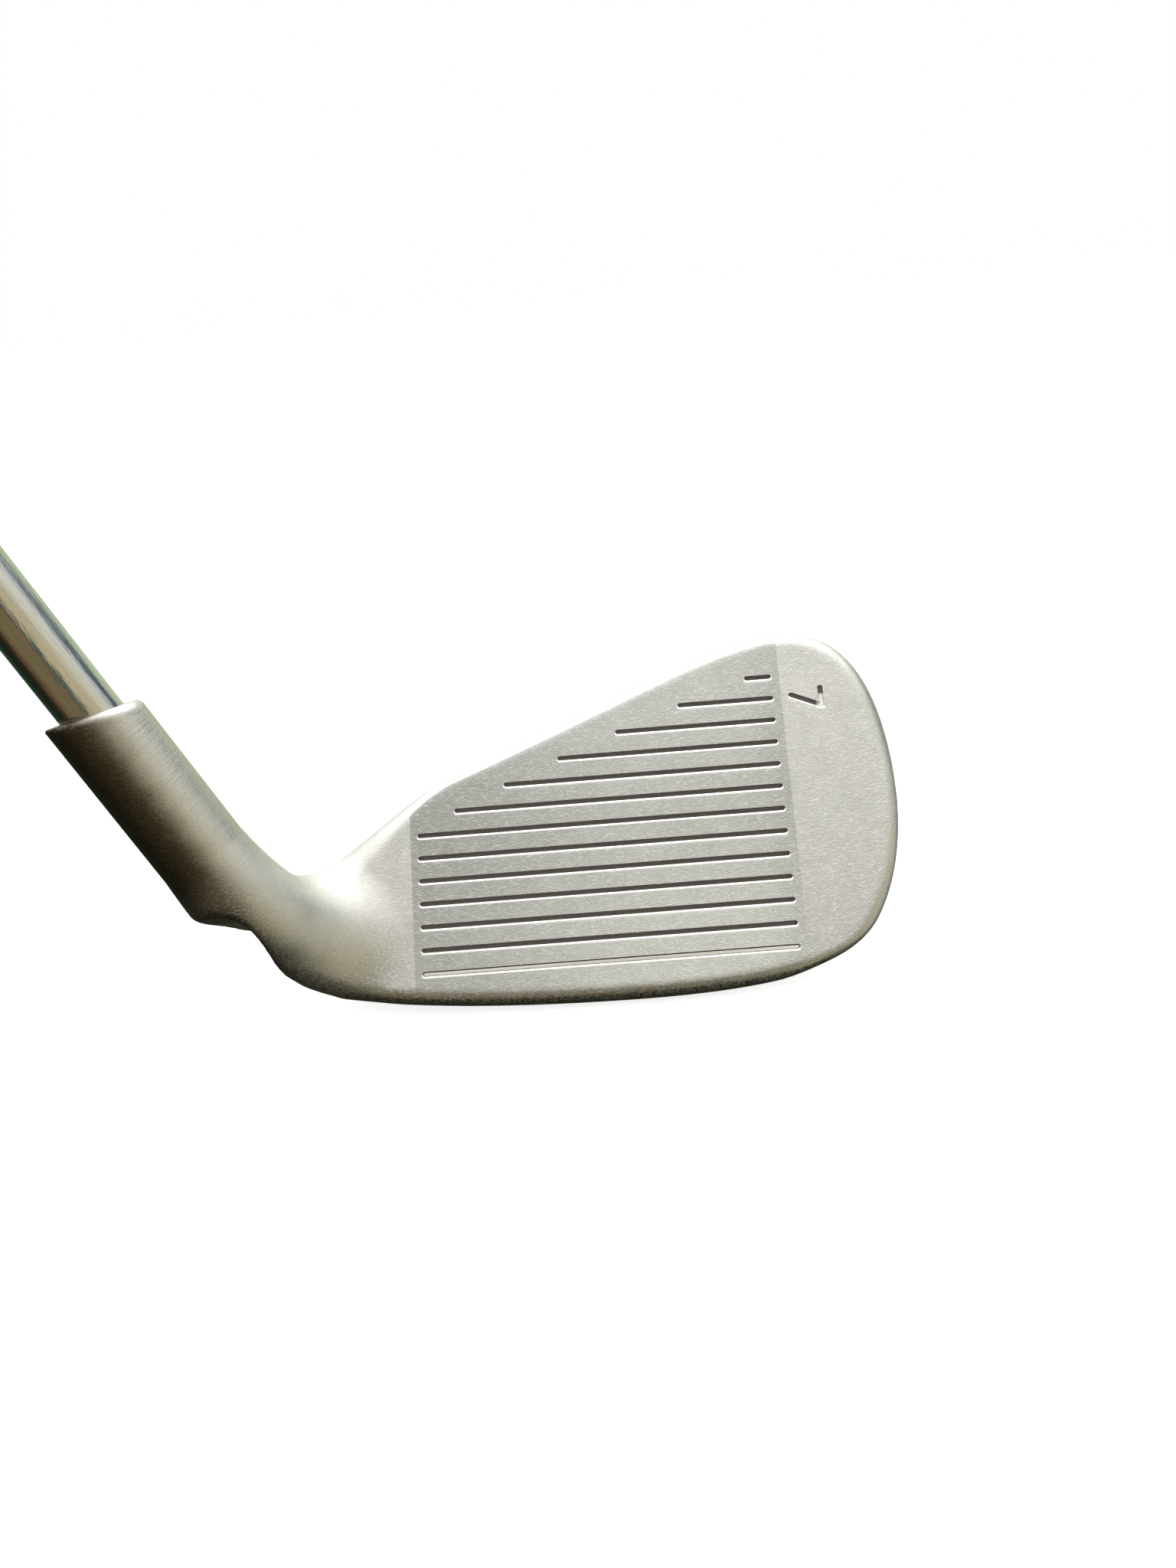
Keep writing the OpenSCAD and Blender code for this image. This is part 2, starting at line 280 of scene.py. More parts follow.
NECK_FILLET_R = 8.0
SOCKET_EDGE_R = 0.3
CAVITY_FLOOR_R, CAVITY_EDGE_R = 1.5, 1.0


def sole_edge_radius(u):
    """Radius of the edge round the sole, rounder at the heel."""
    return 3.0 + 3.5 * (1 - ramp(u, -60, -36))


def notch_edge_radius(u):
    """Radius of the edge of the notch, rounder away from the hosel."""
    return 0.9 + 0.7 * ramp(u, -56, -48)


def head_distance(u, h, w, outlines=None):
    """Signed distance to the head, at points in the frame of the face."""
    u, h, w = np.broadcast_arrays(u, h, w)
    outline, cavity = outlines or outlines_at(u, h)
    y = FACE_MID[0] + h * math.sin(LOFT) + w * math.cos(LOFT)
    z = FACE_MID[1] + h * math.cos(LOFT) - w * math.sin(LOFT)
    s = -math.cos(LIE) * (u - AXIS_X) + math.sin(LIE) * z
    across = math.sin(LIE) * (u - AXIS_X) + math.cos(LIE) * z
    front = AXIS_Y - y
    sole = sole_distance(u, y, z)
    arm = np.minimum(hosel_distance(s, across, front), neck_distance(u, h, w))
    head = round_join(blade_distance(u, h, w, y, z, outline), arm, NECK_FILLET_R)
    head = round_cut(head, sole, sole_edge_radius(u))
    notch = outline_distance(NOTCH_OUTLINE, u, h - NOTCH_RISE * (w - NOTCH_W))
    head = round_cut(head, -notch, notch_edge_radius(u))
    socket = np.maximum(np.hypot(across, front) - SOCKET_R, HOSEL_TOP - SOCKET_DEPTH - s)
    head = round_cut(head, -socket, SOCKET_EDGE_R)
    cavity = round_cut(cavity, PLATE_T - w, CAVITY_FLOOR_R)
    return round_cut(head, -cavity, CAVITY_EDGE_R)


JUST_INSIDE = -1e-3


def close_corners(value):
    """Fills grid points until no square of the grid has its solid points only across a diagonal."""
    changed = True
    while changed:
        changed = False
        for first, second in ((0, 1), (0, 2), (1, 2)):
            grid = np.moveaxis(value, (first, second), (0, 1))
            square = grid[:-1, :-1], grid[1:, :-1], grid[1:, 1:], grid[:-1, 1:]
            for k in range(4):
                empty, side_a, across, side_b = (square[(k + turn) % 4] for turn in range(4))
                crossed = (empty >= 0) & (across >= 0) & (side_a < 0) & (side_b < 0)
                empty[crossed] = JUST_INSIDE
                changed |= bool(crossed.any())


def surface_net(axes, value):
    """Points and quads on the zero surface of a grid of values."""
    cells = np.array(value.shape) - 1
    total, count = np.zeros((*cells, 3)), np.zeros(cells)
    for axis in range(3):
        others = [k for k in range(3) if k != axis]
        for corner in ((0, 0), (0, 1), (1, 0), (1, 1)):
            start = np.zeros(3, int)
            start[others] = corner
            end = start.copy()
            end[axis] = 1
            v0, v1 = (
                value[tuple(slice(o[k], o[k] + cells[k]) for k in range(3))] for o in (start, end)
            )
            cross = (v0 < 0) != (v1 < 0)
            t = np.where(cross, v0 / np.where(cross, v0 - v1, 1), 0)
            count += cross
            for k in range(3):
                total[..., k] += np.where(cross, start[k] + (t if k == axis else 0), 0)
    active = count > 0
    ids = np.full(cells, -1)
    ids[active] = np.arange(active.sum())
    local = total[active] / count[active][:, None] + np.argwhere(active)
    points = np.stack([np.interp(local[:, k], np.arange(len(axes[k])), axes[k]) for k in range(3)], 1)
    quads = []
    for axis in range(3):
        b, c = (axis + 1) % 3, (axis + 2) % 3
        solid = np.moveaxis(value < 0, axis, 0)
        low, high = solid[:-1], solid[1:]
        edge = np.argwhere(np.moveaxis(low != high, 0, axis))
        sides = edge[:, (b, c)]
        edge = edge[((sides > 0) & (sides < cells[[b, c]])).all(1)]
        quad = []
        for db, dc in ((1, 1), (0, 1), (0, 0), (1, 0)):
            cell = edge.copy()
            cell[:, b] -= db
            cell[:, c] -= dc
            quad.append(ids[tuple(cell.T)])
        quad = np.stack(quad, 1)
        leaving = value[tuple(edge.T)] < 0
        quad[leaving] = quad[leaving][:, ::-1]
        quads.append(quad)
    return points, np.vstack(quads)


GRID = 0.5
HEAD_LOW, HEAD_HIGH = (-85.9, -30.9, -42.9), (45.0, 33.0, 22.0)
NUDGE = 1e-3  # step for measuring how fast the distance changes
LEAST_SLOPE, LONGEST_MOVE = 0.2, 0.6 * GRID


def head_mesh():
    """Points in the frame of the face and quads of the head's surface."""
    axes = [np.arange(low, high, GRID) for low, high in zip(HEAD_LOW, HEAD_HIGH)]
    u, h = np.meshgrid(axes[0], axes[1], indexing="ij")
    outlines = outlines_at(u, h)
    value = np.stack([head_distance(u, h, w, outlines) for w in axes[2]], 2)
    close_corners(value)
    points, quads = surface_net(axes, value)
    for _ in range(NEWTON_STEPS):
        distance = head_distance(*points.T)
        beside = [head_distance(*(points + NUDGE * axis).T) for axis in np.eye(3)]
        slope = np.stack([(value - distance) / NUDGE for value in beside], 1)
        move = -(distance / np.maximum((slope**2).sum(1), LEAST_SLOPE))[:, None] * slope
        length = np.maximum(np.linalg.norm(move, axis=1), 1e-9)
        points = points + move * np.minimum(1, LONGEST_MOVE / length)[:, None]
    return points, quads


# ---- scorelines and the club number ----

# Sections of a groove: depth below the face, half width, and how far the middle sits up the face.
# The lower edge is worn to a wide shallow lip, then come the walls and a round floor.
GROOVE_SECTION = [
    (-0.1, 0.72, -0.33),
    (0.07, 0.385, 0.06),
    (0.36, 0.36, 0.06),
    (0.46, 0.26, 0.06),
    (0.5, 0.08, 0.06),
]
NUMBER_SECTION = [(-0.1, 0.62, -0.21), (0.06, 0.40, 0.03), (0.34, 0.35, 0.03), (0.42, 0.22, 0.03)]
PAINT_SECTION = [(0.47, 0.12, 0.05), (0.42, 0.22, 0.04), (0.15, 0.25, 0.02), (0.12, 0.22, 0.02)]
SEVEN = [(31.9, 19.5), (31.9, 16.5), (27.2, 18.6)]
END_STEPS = 8  # sides of a round end
END_INSET = 0.4  # the middle of a round end, from the end of its line
TINY_TURN = 1e-6


def line_heel_at(h):
    """Heel end of the scoreline h above the middle one. The upper ones follow the topline."""
    return LINE_HEEL if h <= 0 else -34.8 + 1.87 * h + 0.0285 * h * h


def scoreline_ends():
    """Both ends of each scoreline, from the lowest one up."""
    for i in range(LINE_COUNT):
        h = (i - (LINE_COUNT - 1) / 2) * LINE_PITCH
        yield (line_heel_at(h) + END_INSET, h), (LINE_TOE - END_INSET, h)


def round_outline(line, half):
    """Outline of a round-ended stroke along a line of points, half wide on each side."""
    path = [np.array(p, float) for p in (*line, *line[-2:0:-1])]
    outline = []
    for i, at in enumerate(path):
        into, onward = at - path[i - 1], path[(i + 1) % len(path)] - at
        heading = math.atan2(into[1], into[0]) - math.pi / 2
        turn = math.atan2(onward[1], onward[0]) - math.pi / 2 - heading
        # from -180 to 180 degrees, and a half turn is always a left one
        turn = (turn + math.pi - TINY_TURN) % (2 * math.pi) - math.pi + TINY_TURN
        if turn > 1e-3:
            angles, reach = heading + turn * np.linspace(0, 1, END_STEPS + 1), half
        else:
            angles, reach = np.array([heading + turn / 2]), half / math.cos(turn / 2)
        outline.append(at + reach * np.stack([np.cos(angles), np.sin(angles)], 1))
    return np.vstack(outline)


def bar(line, section):
    """A closed bar with round ends along a line on the face: points and faces."""
    points = []
    for depth, half, shift in section:
        ring = round_outline(line, half) + (0, shift)
        points.append(np.column_stack([ring, np.full(len(ring), depth)]))
    n = len(points[0])
    faces = [tuple(range(n))[::-1]]
    for low in range(0, (len(section) - 1) * n, n):
        high = low + n
        for i in range(n):
            after = (i + 1) % n
            faces.append((low + i, low + after, high + after, high + i))
    last = (len(section) - 1) * n
    faces.append(tuple(range(last, last + n)))
    return np.vstack(points), faces


def joined(parts):
    """Several closed parts as one list of points and faces."""
    points, faces, start = [], [], 0
    for part_points, part_faces in parts:
        points.append(part_points)
        faces += [tuple(i + start for i in face) for face in part_faces]
        start += len(part_points)
    return np.vstack(points), faces


def fix_normals(piece):
    """Turns every face of a closed mesh outwards."""
    mesh = bmesh.new()
    mesh.from_mesh(piece.data)
    bmesh.ops.recalc_face_normals(mesh, faces=mesh.faces)
    mesh.to_mesh(piece.data)
    mesh.free()


def cut_away(piece, parts, material):
    """Cuts closed parts that don't touch each other out of a piece, and gives the cuts a material."""
    points, faces = joined(parts)
    cutter = mesh_piece("cutter", from_face(points), faces)
    fix_normals(cutter)
    cutter.data.materials.append(material)
    boolean = piece.modifiers.new("cut", "BOOLEAN")
    boolean.operation = "DIFFERENCE"
    boolean.solver = "EXACT"
    boolean.material_mode = "TRANSFER"
    boolean.object = cutter
    bake(piece)
    bpy.data.objects.remove(cutter)


def make_head(steel, groove_steel):
    """The head, with its scorelines and its number cut in."""
    points, quads = head_mesh()
    head = mesh_piece("club_head", from_face(points), quads)
    head.data.materials.append(steel)
    head.data.materials.append(groove_steel)
    marks = [bar(ends, GROOVE_SECTION) for ends in scoreline_ends()]
    cut_away(head, [*marks, bar(SEVEN, NUMBER_SECTION)], groove_steel)
    head.data.shade_smooth()
    head.data.set_sharp_from_angle(angle=math.radians(28))
    place(head, steel, "cast_steel", "head")


PAINT_STEPS = 160
PAINT_UNEVEN = 0.014
PAINT_SKIN = 0.2  # what lies above this depth is the paint's own surface


def make_paint(material):
    """White fill of the lowest scoreline, slightly uneven along its length."""
    rng = np.random.default_rng(7)
    line = np.linspace(*next(scoreline_ends()), PAINT_STEPS + 1)
    points, faces = bar(line, PAINT_SECTION)
    uneven = rng.normal(0, PAINT_UNEVEN, len(points))
    points[:, 2] += np.where(points[:, 2] < PAINT_SKIN, np.abs(uneven), 0)
    points[:, 1] += uneven * 0.5
    paint = mesh_piece("scoreline_fill", from_face(points), faces, sharp_deg=40)
    fix_normals(paint)
    place(paint, material, "white_paint", "scoreline_paint")


# ---- node materials ----


class Look:
    """The nodes of a material or a world, built one at a time."""

    def __init__(self, owner):
        self.owner = owner
        owner.use_nodes = True
        self.tree = owner.node_tree
        self.tree.nodes.clear()

    def add(self, kind, inputs=None, output=0, **settings):
        """Adds a node and returns one of its outputs. Inputs are values or other outputs."""
        node = self.tree.nodes.new("ShaderNode" + kind)
        for key, value in settings.items():
            setattr(node, key, value)
        for key, value in (inputs or {}).items():
            if isinstance(value, bpy.types.NodeSocket):
                self.tree.links.new(value, node.inputs[key])
            else:
                node.inputs[key].default_value = value
        return node.outputs[output]

    def math(self, operation, a, b=0.0, c=0.0, clamp=False):
        return self.add("Math", {0: a, 1: b, 2: c}, operation=operation, use_clamp=clamp)

    def product(self, first, *others):
        """All the values multiplied together."""
        for value in others:
            first = self.math("MULTIPLY", first, value)
        return first

    def vector(self, operation, a, b=(0, 0, 0)):
        output = 1 if operation in ("DOT_PRODUCT", "LENGTH") else 0
        return self.add("VectorMath", {0: a, 1: b}, output, operation=operation)

    def between(self, value, low, high, to_low=0.0, to_high=1.0):
        """A smooth step from to_low to to_high as value goes from low to high."""
        inputs = {"Value": value, "From Min": low, "From Max": high, "To Min": to_low, "To Max": to_high}
        return self.add("MapRange", inputs, interpolation_type="SMOOTHSTEP")

    def mix(self, factor, a, b):
        """A colour between a and b."""
        inputs = {"Factor": factor, 6: colour(a), 7: colour(b)}
        return self.add("Mix", inputs, 2, data_type="RGBA")

    def blend(self, factor, a, b):
        """A number between a and b."""
        return self.add("Mix", {"Factor": factor, 2: a, 3: b}, 0, data_type="FLOAT")

    def noise(self, where, scale, detail=2.0, roughness=0.5):
        inputs = {"Vector": where, "Scale": scale, "Detail": detail, "Roughness": roughness}
        return self.add("TexNoise", inputs, 0)

    def bands(self, value, stops):
        """A colour ramp: value from 0 to 1 against (place, colour) stops."""
        node = self.tree.nodes.new("ShaderNodeValToRGB")
        self.tree.links.new(value, node.inputs[0])
        elements = node.color_ramp.elements
        while len(elements) < len(stops):
            elements.new(0.5)
        for element, (at, tint) in zip(elements, stops):
            element.position = at
        for element, (at, tint) in zip(elements, stops):
            element.color = colour(tint)
        return node.outputs[0]

    def millimetres(self):
        """Place on the object, in millimetres of the CAD frame."""
        where = self.add("TexCoord", output=3)
        return self.vector("MULTIPLY", where, (1000, 1000, 1000))

    def on_face(self, where):
        """Height up the face and depth behind it."""
        local = self.vector("SUBTRACT", where, tuple(FACE_POINT))
        up = self.vector("DOT_PRODUCT", local, tuple(FACE_UP))
        return up, self.vector("DOT_PRODUCT", local, tuple(FACE_IN))

    def on_axis(self, where):
        """Distance along the shaft axis, radius and angle about it."""
        local = self.vector("SUBTRACT", where, tuple(AXIS_FOOT))
        s = self.vector("DOT_PRODUCT", local, tuple(ALONG))
        across = self.vector("DOT_PRODUCT", local, tuple(ACROSS))
        front = self.vector("DOT_PRODUCT", local, (0, -1, 0))
        squares = self.math("ADD", self.product(across, across), self.product(front, front))
        return s, self.math("SQRT", squares), self.math("ARCTAN2", front, across)

    def xyz(self, x, y, z):
        return self.add("CombineXYZ", {0: x, 1: y, 2: z})

    def bump(self, height, distance_mm, strength=1.0, normal=None):
        inputs = {"Height": height, "Distance": distance_mm * MM, "Strength": strength}
        if normal:
            inputs["Normal"] = normal
        return self.add("Bump", inputs)

    def finish(self, **inputs):
        """Closes the material with one surface shader."""
        inputs = {key.replace("_", " "): value for key, value in inputs.items()}
        surface = self.add("BsdfPrincipled", inputs)
        output = self.tree.nodes.new("ShaderNodeOutputMaterial")
        self.tree.links.new(surface, output.inputs[0])
        return self.owner


def colour(value):
    """Three numbers as a colour with full alpha; an output is passed on."""
    return value if isinstance(value, bpy.types.NodeSocket) else (*value, 1.0)


def material_look(name):
    """An empty material to build."""
    return Look(bpy.data.materials.new(name))


def scratches(look, where, turn_deg, length, spacing, density):
    """Fine straight scratches: 1 on a scratch, 0 elsewhere. Length and spacing in millimetres."""
    turn = {"Vector": where, "Angle": math.radians(turn_deg), "Axis": tuple(FACE_IN)}
    turned = look.add("VectorRotate", turn)
    stretched = look.vector("MULTIPLY", turned, (1 / length, 1 / spacing, 1 / spacing))
    return look.between(look.noise(stretched, 1.0, 1.0), 1 - density, 1 - density + 0.06)


def crossed_scratches(look, where):
    """Two sets of short scratches that cross, and a set of long steep ones."""
    short = look.math("MAXIMUM", scratches(look, where, 12, 1.1, 0.11, 0.40),
                      scratches(look, where, -16, 0.9, 0.10, 0.39))
    return look.math("MAXIMUM", short, scratches(look, where, -52, 2.6, 0.12, 0.33))


def blasted_area(look, u, depth):
    """1 on the flat hitting area between its two sharp ends, 0 elsewhere."""
    on_flat = look.product(look.between(depth, 0.16, 0.05), look.between(depth, -0.2, -0.1))
    past_heel_end = look.between(u, BLAST_HEEL - 0.1, BLAST_HEEL + 0.1)
    before_toe_end = look.between(u, BLAST_TOE + 0.1, BLAST_TOE - 0.1)
    return look.product(on_flat, look.product(past_heel_end, before_toe_end))


def ball_wear(look, u, up):
    """How light the blasted steel has stayed: it is darker towards the heel, the toe and the top."""
    toward_heel = look.between(u, BLAST_HEEL - 6, 8, 0.70, 1.0)
    toward_toe = look.between(u, 17, 26, 1.0, 0.88)
    toward_top = look.between(up, -27, 4, 1.0, 0.77)
    return look.product(toward_heel, toward_toe, toward_top)


def steel_look(name, in_groove=False):
    """Cast stainless steel: blasted on the hitting area, satin around it, brushed on the hosel."""
    look = material_look(name)
    where = look.millimetres()
    up, depth = look.on_face(where)
    u = look.vector("DOT_PRODUCT", where, (1, 0, 0))
    s, radius, angle = look.on_axis(where)

    blasted = blasted_area(look, u, depth)
    on_hosel = look.product(look.between(s, 24, 33), look.between(radius, 9.5, 7.8))
    on_neck = look.product(look.between(s, 4, 20), look.between(s, 33, 24), look.between(radius, 15, 9))
    at_crotch = look.product(look.between(u, -34, -42), look.between(up, -14, -6))
    at_lead_edge = look.product(look.between(up, -23.5, -25), look.between(depth, 0.1, 0.5))

    grain = look.noise(where, 3.6, 3.0, 0.7)
    mottle = look.noise(where, 0.22, 4.0, 0.6)
    pits = look.between(look.noise(where, 2.2, 4.0, 0.7), 0.66, 0.74)
    ring_place = look.xyz(look.product(s, 5.0), look.product(angle, 1.1), radius)
    rings = look.noise(ring_place, 1.0, 4.0, 0.7)
    marks = look.product(crossed_scratches(look, where), look.blend(on_hosel, 1.0, 0.35))

    satin = look.mix(mottle, (0.53, 0.525, 0.49), (0.71, 0.70, 0.665))
    sand = look.mix(mottle, (0.60, 0.61, 0.57), (0.80, 0.80, 0.77))
    base = look.mix(blasted, satin, look.mix(ball_wear(look, u, up), (0, 0, 0), sand))
    brushed = look.mix(rings, (0.48, 0.465, 0.43), (0.74, 0.72, 0.68))
    # Painted shade: the heel side of the hosel and of the neck is given a dark brown colour that stands
    # in for the dark surroundings it reflects.
    painted_heel_shade = look.between(look.math("ADD", angle, look.product(mottle, 0.5)), 0.95, 1.9)
    brushed = look.mix(look.product(painted_heel_shade, 0.92), brushed, (0.085, 0.064, 0.026))
    base = look.mix(on_hosel, base, brushed)
    base = look.mix(look.product(painted_heel_shade, on_neck, 0.85), base, (0.13, 0.10, 0.05))
    base = look.mix(look.between(grain, 0.40, 0.62, 0.0, 0.16), base, (0.30, 0.30, 0.28))
    base = look.mix(look.product(marks, 0.42), base, (0.92, 0.92, 0.90))
    base = look.mix(look.product(pits, 0.25), base, (0.30, 0.28, 0.24))

    rough = look.blend(blasted, look.blend(grain, 0.34, 0.46), look.blend(grain, 0.46, 0.60))
    rough = look.math("ADD", rough, look.product(at_crotch, 0.12))
    rough = look.blend(at_lead_edge, rough, 0.2)
    rough = look.blend(on_hosel, rough, look.blend(rings, 0.33, 0.45))

    height = look.blend(blasted, look.product(grain, 0.55), grain)
    height = look.blend(on_hosel, height, rings)
    height = look.math("SUBTRACT", height, look.product(marks, 0.5))
    normal = look.bump(height, 0.012 if in_groove else 0.045)
    if not in_groove:
        return look.finish(Base_Color=base, Metallic=1.0, Roughness=rough, Normal=normal)

    # Painted shade fills the walls and floor of a groove, above its lip: a dark, dull colour that stands
    # in for the shade inside it.
    # The painted shade is left out of the lower half of the numeral's upright, whose floor is lit.
    unshaded_upright = look.product(look.between(u, 31.0, 31.4), look.between(up, 18.8, 18.3, 0.0, 0.85))
    painted_groove_shade = look.math("SUBTRACT", look.between(depth, 0.065, 0.10), unshaded_upright, clamp=True)
    groove_shade_colour = look.mix(grain, (0.05, 0.042, 0.036), (0.14, 0.12, 0.105))
    return look.finish(
        # Partly painted highlight: the lip's colour is paler than the steel around it, on top of the
        # light its slope really catches.
        Base_Color=look.mix(painted_groove_shade, (0.88, 0.88, 0.86), groove_shade_colour),
        Metallic=look.blend(painted_groove_shade, 1.0, 0.12),
        Roughness=look.blend(painted_groove_shade, 0.24, 0.7),
        Normal=normal,
    )


def chrome_look():
    """Plated shaft: a mirror with polishing lines along it, light scuffs and faint orange peel."""
    look = material_look("chrome_plating")
    where = look.millimetres()
    s, _, angle = look.on_axis(where)
    draw = look.noise(look.xyz(look.product(s, 0.05), look.product(angle, 22.0), 0.0), 1.0, 5.0, 0.65)
    scuffs = look.between(look.noise(where, 0.9, 5.0, 0.75), 0.56, 0.72)
    peel = look.noise(where, 0.45, 2.0)
    base = look.mix(draw, (0.55, 0.55, 0.55), (0.84, 0.84, 0.83))
    base = look.mix(look.product(scuffs, 0.3), base, (0.50, 0.51, 0.52))
    rough = look.blend(scuffs, look.blend(draw, 0.05, 0.12), 0.26)
    ripple = look.noise(look.xyz(look.product(s, 0.35), look.product(angle, 9.0), 0.0), 1.0, 4.0)
    normal = look.bump(peel, 0.02, 0.5, look.bump(draw, 0.004, 0.6))
    normal = look.bump(ripple, 0.09, 0.6, normal)
    return look.finish(Base_Color=base, Metallic=1.0, Roughness=rough, Normal=normal)


def paint_look():
    """Old white paint, worn through in places."""
    look = material_look("white_line_paint")
    where = look.millimetres()
    worn = look.between(look.noise(where, 1.4, 5.0, 0.7), 0.60, 0.72)
    base = look.mix(look.noise(where, 3.0, 3.0), (0.40, 0.385, 0.33), (0.52, 0.50, 0.44))
    base = look.mix(look.product(worn, 0.5), base, (0.25, 0.235, 0.20))
    normal = look.bump(look.noise(where, 9.0, 3.0), 0.02)
    return look.finish(Base_Color=base, Roughness=0.5, Normal=normal)


def rubber_look():
    """Moulded rubber: fine speckle, cord-like tooth, and polish where hands wear it."""
    look = material_look("grip_rubber")
    where = look.millimetres()
    speckle = look.noise(where, 4.0, 4.0, 0.7)
    handled = look.between(look.noise(where, 0.03, 3.0), 0.42, 0.62)
    raised = look.between(look.add("NewGeometry", output=7), 0.49, 0.56)
    base = look.mix(speckle, (0.012, 0.0125, 0.014), (0.030, 0.031, 0.033))
    base = look.mix(look.product(raised, 0.5), base, (0.055, 0.055, 0.057))
    rough = look.blend(handled, look.blend(speckle, 0.62, 0.78), look.blend(speckle, 0.42, 0.58))
    normal = look.bump(look.noise(where, 7.0, 3.0, 0.7), 0.05, 0.8)
    return look.finish(Base_Color=base, Roughness=rough, Normal=normal, Specular_IOR_Level=0.3)


def brushed_plate_look():
    """Anodised badge plate with a lengthwise brushed grain."""
    look = material_look("brushed_plate")
    where = look.millimetres()
    grain = look.noise(look.vector("MULTIPLY", where, (0.12, 7.0, 7.0)), 1.0, 4.0, 0.65)
    cloud = look.noise(where, 0.15, 3.0)
    base = look.mix(grain, (0.46, 0.47, 0.48), (0.68, 0.69, 0.70))
    base = look.mix(look.product(cloud, 0.3), base, (0.40, 0.41, 0.43))
    return look.finish(
        Base_Color=base,
        Metallic=1.0,
        Roughness=look.blend(grain, 0.24, 0.40),
        Normal=look.bump(grain, 0.012),
    )


def label_look():
    """Printed film: pale ground with two plain bands and a soft gloss."""
    look = material_look("label_film")
    where = look.millimetres()
    s, _, _ = look.on_axis(where)
    from_middle = look.math("ABSOLUTE", look.math("SUBTRACT", s, LABEL_LOW + LABEL_LEN / 2))
    band = look.product(look.between(from_middle, 19.9, 20.1), look.between(from_middle, 25.1, 24.9))
    fibre = look.noise(where, 2.5, 4.0, 0.6)
    base = look.mix(fibre, (0.40, 0.42, 0.44), (0.50, 0.52, 0.54))
    base = look.mix(band, base, look.mix(fibre, (0.10, 0.11, 0.13), (0.16, 0.17, 0.19)))
    edge = look.between(from_middle, 27.2, 28.0)
    base = look.mix(look.product(edge, 0.6), base, (0.45, 0.45, 0.44))
    normal = look.bump(look.noise(where, 0.8, 3.0), 0.03)
    return look.finish(
        Base_Color=base,
        Roughness=look.blend(fibre, 0.22, 0.34),
        Normal=normal,
        Coat_Weight=0.4,
        Coat_Roughness=0.1,
    )


def epoxy_look():
    """Amber glue with a few bubbles."""
    look = material_look("cured_epoxy")
    where = look.millimetres()
    bubbles = look.between(look.noise(where, 2.0, 3.0), 0.6, 0.7)
    base = look.mix(look.noise(where, 0.5, 3.0), (0.40, 0.33, 0.18), (0.55, 0.46, 0.28))
    return look.finish(
        Base_Color=base,
        Roughness=look.blend(bubbles, 0.18, 0.4),
        Normal=look.bump(bubbles, 0.05),
        Coat_Weight=0.3,
    )


def brass_look():
    """Brass with turning marks and patches of tarnish."""
    look = material_look("turned_brass")
    where = look.millimetres()
    s, radius, _ = look.on_axis(where)
    rings = look.noise(look.xyz(look.product(s, 4.0), radius, 0.0), 1.0, 3.0)
    tarnish = look.between(look.noise(where, 0.5, 4.0, 0.7), 0.5, 0.7)
    base = look.mix(rings, (0.62, 0.45, 0.18), (0.78, 0.58, 0.26))
    base = look.mix(look.product(tarnish, 0.5), base, (0.30, 0.20, 0.09))
    return look.finish(
        Base_Color=base,
        Metallic=1.0,
        Roughness=look.blend(tarnish, 0.24, 0.5),
        Normal=look.bump(rings, 0.01),
    )


def cork_look():
    """Cork with dark pores."""
    look = material_look("cork")
    where = look.millimetres()
    cell = look.add("TexVoronoi", {"Vector": where, "Scale": 1.1}, 0)
    grain = look.noise(where, 1.6, 5.0, 0.7)
    base = look.mix(grain, (0.34, 0.19, 0.09), (0.62, 0.42, 0.24))
    base = look.mix(look.between(cell, 0.55, 0.75, 0.0, 0.5), base, (0.14, 0.08, 0.04))
    return look.finish(Base_Color=base, Roughness=0.85, Normal=look.bump(cell, 0.12, 0.7))


def tape_look():
    """Masking tape with crepe ridges round the shaft."""
    look = material_look("grip_tape")
    where = look.millimetres()
    s, _, angle = look.on_axis(where)
    crepe = look.noise(look.xyz(look.product(s, 2.5), look.product(angle, 1.5), 0.0), 1.0, 4.0)
    base = look.mix(crepe, (0.58, 0.47, 0.30), (0.72, 0.60, 0.42))
    return look.finish(Base_Color=base, Roughness=0.7, Normal=look.bump(crepe, 0.05))


def foam_look():
    """Dark damping pad with closed cells."""
    look = material_look("damping_pad")
    where = look.millimetres()
    cell = look.add("TexVoronoi", {"Vector": where, "Scale": 2.6}, 0)
    base = look.mix(look.noise(where, 1.2, 4.0, 0.6), (0.030, 0.030, 0.033), (0.07, 0.07, 0.075))
    rough = look.blend(cell, 0.7, 0.9)
    return look.finish(Base_Color=base, Roughness=rough, Normal=look.bump(cell, 0.06))


# ---- grip ----

GRIP_TURN = 208  # points round the grip
GRIP_ROW = 0.42  # distance between rows of points
TREAD_STARTS = 14  # helical grooves each way
TREAD_PITCH = 2 * math.pi * 11 / TREAD_STARTS  # distance between them, at a radius of 11
TREAD_TWIST = 0.62  # pitches round the grip for each pitch along it
TREAD_DEPTH, COLLAR_DEPTH = 0.5, 0.45
PANEL_START, PANEL_LEN, RING_LEN = 16.0, 44.0, 6.0


